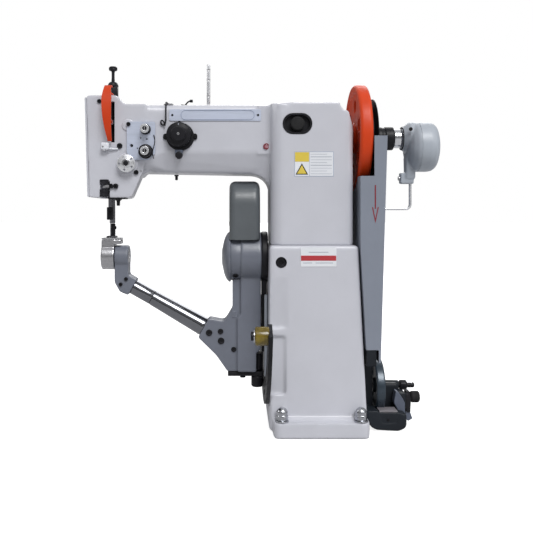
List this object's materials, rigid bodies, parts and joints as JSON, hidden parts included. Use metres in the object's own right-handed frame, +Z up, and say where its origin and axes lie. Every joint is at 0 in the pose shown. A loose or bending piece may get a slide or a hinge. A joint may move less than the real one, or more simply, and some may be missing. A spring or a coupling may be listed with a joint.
{
  "type": "side-wall sole stitching machine",
  "caption": "Post-bed leather stitching machine with a long arm over a swinging curved horn that carries the hook, for sewing soles to shoe uppers.",
  "frame": {"origin": "centre of the underside of the bolting flange", "axes": "+Z up, -X towards the needle, -Y towards the operator, +X towards the handwheel"},
  "size_m": [0.6549, 0.5074, 0.674],
  "materials": {
    "white_paint": "smooth cool white enamel on cast iron, semi gloss",
    "grey_paint": "grey enamel on cast iron, semi gloss",
    "dome_grey_paint": "mid grey enamel, semi gloss",
    "cover_grey_paint": "blue-grey enamel on sheet steel",
    "light_grey_paint": "light grey enamel",
    "chrome": "polished plating",
    "steel": "ground steel",
    "black_oxide": "black oxide finish, satin",
    "orange_paint": "orange enamel",
    "amber_urethane": "amber cast urethane",
    "bright_plate": "satin bright plate",
    "black_rubber": "toothed belt rubber",
    "winder_paint": "dark green-grey enamel"
  },
  "bodies": {
    "stand": {"base_casting": "white_paint", "upper_casting": "white_paint", "face_cover": "white_paint", "arm_rear_cover": "white_paint", "foot_nut_1": "chrome", "foot_nut_2": "chrome", "foot_nut_3": "chrome", "foot_nut_4": "chrome", "sector_plate": "black_oxide", "end_stop_front": "amber_urethane", "end_stop_rear": "amber_urethane", "belt_cover": "cover_grey_paint", "oil_window": "black_oxide", "name_plate": "bright_plate", "thread_post": "chrome", "tension_plate": "bright_plate", "take_up_guard": "orange_paint", "thread_block": "white_paint", "presser_tower": "black_oxide", "presser_spring": "steel", "sync_housing": "light_grey_paint", "sync_rod": "steel", "dial_plate": "black_oxide", "swing_trunnion": "black_oxide", "side_plate": "light_grey_paint", "timing_belt": "black_rubber", "winder_base": "winder_paint"},
    "main_shaft": {"main_shaft": "steel", "handwheel": "orange_paint", "belt_pulley": "black_oxide", "shaft_coupling": "chrome"},
    "lower_shaft": {"lower_shaft": "steel"},
    "swing_arm": {"swing_arm_casting": "grey_paint", "bearing_cap": "grey_paint", "dome_cover": "dome_grey_paint", "horn_cone": "chrome", "horn_tube": "chrome", "horn_knuckle": "grey_paint", "lock_bracket": "black_oxide"},
    "lock_knob": {"lock_knob": "black_oxide"},
    "horn_shaft": {"horn_shaft": "steel"},
    "hook_head": {"hook_head": "steel", "throat_plate": "chrome", "bobbin_case": "chrome"},
    "rotary_hook": {"rotary_hook": "steel"},
    "bobbin": {"bobbin": "steel"},
    "needle_bar": {"needle_bar": "chrome", "needle": "chrome"},
    "presser_bar": {"presser_bar": "chrome", "presser_foot": "chrome"},
    "presser_adjuster": {"presser_adjuster": "black_oxide"},
    "take_up_lever": {"take_up_lever": "chrome"},
    "stitch_dial": {"stitch_dial": "black_oxide"},
    "reverse_lever": {"reverse_lever": "black_oxide"},
    "tension_nut_upper": {"tension_nut_upper": "chrome"},
    "tension_nut_lower": {"tension_nut_lower": "chrome"},
    "tension_disc": {"tension_disc": "chrome"},
    "winder_spindle": {"winder_spindle": "black_oxide", "winder_wheel": "winder_paint"},
    "winder_latch": {"winder_latch": "black_oxide"}
  },
  "joints": [
    {"name": "main_shaft_turn", "type": "hinge", "parent": "stand", "child": "main_shaft", "pos_m": [0, 0, 0.533], "axis": [1, 0, 0], "continuous": true},
    {"name": "lower_shaft_turn", "type": "hinge", "parent": "stand", "child": "lower_shaft", "pos_m": [0, 0, 0.309], "axis": [1, 0, 0], "continuous": true},
    {"name": "arm_swing", "type": "hinge", "parent": "stand", "child": "swing_arm", "pos_m": [-0.12, 0, 0.309], "axis": [1, 0, 0], "range_deg": [-52, 52]},
    {"name": "lock_knob_turn", "type": "hinge", "parent": "swing_arm", "child": "lock_knob", "pos_m": [-0.11, -0.012, 0.076], "axis": [0, 0, 1], "range_deg": [-180, 180]},
    {"name": "horn_shaft_turn", "type": "hinge", "parent": "swing_arm", "child": "horn_shaft", "pos_m": [-0.2108, 0, 0.1764], "axis": [-0.8704, 0, 0.4924], "continuous": true},
    {"name": "hook_level", "type": "hinge", "parent": "swing_arm", "child": "hook_head", "pos_m": [-0.365, 0, 0.309], "axis": [1, 0, 0], "range_deg": [-52, 52]},
    {"name": "hook_turn", "type": "hinge", "parent": "hook_head", "child": "rotary_hook", "pos_m": [-0.39, 0, 0.309], "axis": [1, 0, 0], "continuous": true},
    {"name": "bobbin_turn", "type": "hinge", "parent": "hook_head", "child": "bobbin", "pos_m": [-0.397, 0, 0.309], "axis": [1, 0, 0], "continuous": true},
    {"name": "needle_stroke", "type": "slide", "parent": "stand", "child": "needle_bar", "axis": [0, 0, 1], "range_m": [0, 0.035]},
    {"name": "presser_lift", "type": "slide", "parent": "stand", "child": "presser_bar", "axis": [0, 0, 1], "range_m": [0, 0.012], "deforming": ["presser_spring"]},
    {"name": "presser_adjust", "type": "hinge", "parent": "stand", "child": "presser_adjuster", "pos_m": [-0.385, 0.01, 0.65], "axis": [0, 0, 1], "range_deg": [-180, 180]},
    {"name": "take_up", "type": "hinge", "parent": "stand", "child": "take_up_lever", "pos_m": [-0.373, 0.022, 0.556], "axis": [1, 0, 0], "range_deg": [-18, 18]},
    {"name": "stitch_dial_turn", "type": "hinge", "parent": "stand", "child": "stitch_dial", "pos_m": [-0.253, -0.065, 0.5336], "axis": [0, -1, 0], "range_deg": [-150, 150]},
    {"name": "reverse_press", "type": "hinge", "parent": "stand", "child": "reverse_lever", "pos_m": [-0.253, -0.06, 0.504], "axis": [1, 0, 0], "range_deg": [-25, 0], "stiffness_Nm_per_rad": 0.02},
    {"name": "tension_upper_turn", "type": "hinge", "parent": "stand", "child": "tension_nut_upper", "pos_m": [-0.313, -0.07, 0.543], "axis": [0, -1, 0], "range_deg": [-180, 180]},
    {"name": "tension_lower_turn", "type": "hinge", "parent": "stand", "child": "tension_nut_lower", "pos_m": [-0.3126, -0.07, 0.503], "axis": [0, -1, 0], "range_deg": [-180, 180]},
    {"name": "tension_disc_turn", "type": "hinge", "parent": "stand", "child": "tension_disc", "pos_m": [-0.347, -0.07, 0.481], "axis": [0, -1, 0], "continuous": true},
    {"name": "winder_turn", "type": "hinge", "parent": "stand", "child": "winder_spindle", "pos_m": [0.14, -0.01, 0.068], "axis": [1, 0, 0], "continuous": true},
    {"name": "winder_latch_turn", "type": "hinge", "parent": "stand", "child": "winder_latch", "pos_m": [0.165, -0.038, 0.048], "axis": [1, 0, 0], "range_deg": [0, 35]}
  ],
  "couplings": [
    {"joint": "lower_shaft_turn", "follows": "main_shaft_turn", "ratio": 1},
    {"joint": "horn_shaft_turn", "follows": "main_shaft_turn", "ratio": -1},
    {"joint": "hook_turn", "follows": "main_shaft_turn", "ratio": 2},
    {"joint": "hook_level", "follows": "arm_swing", "ratio": -1}
  ]
}
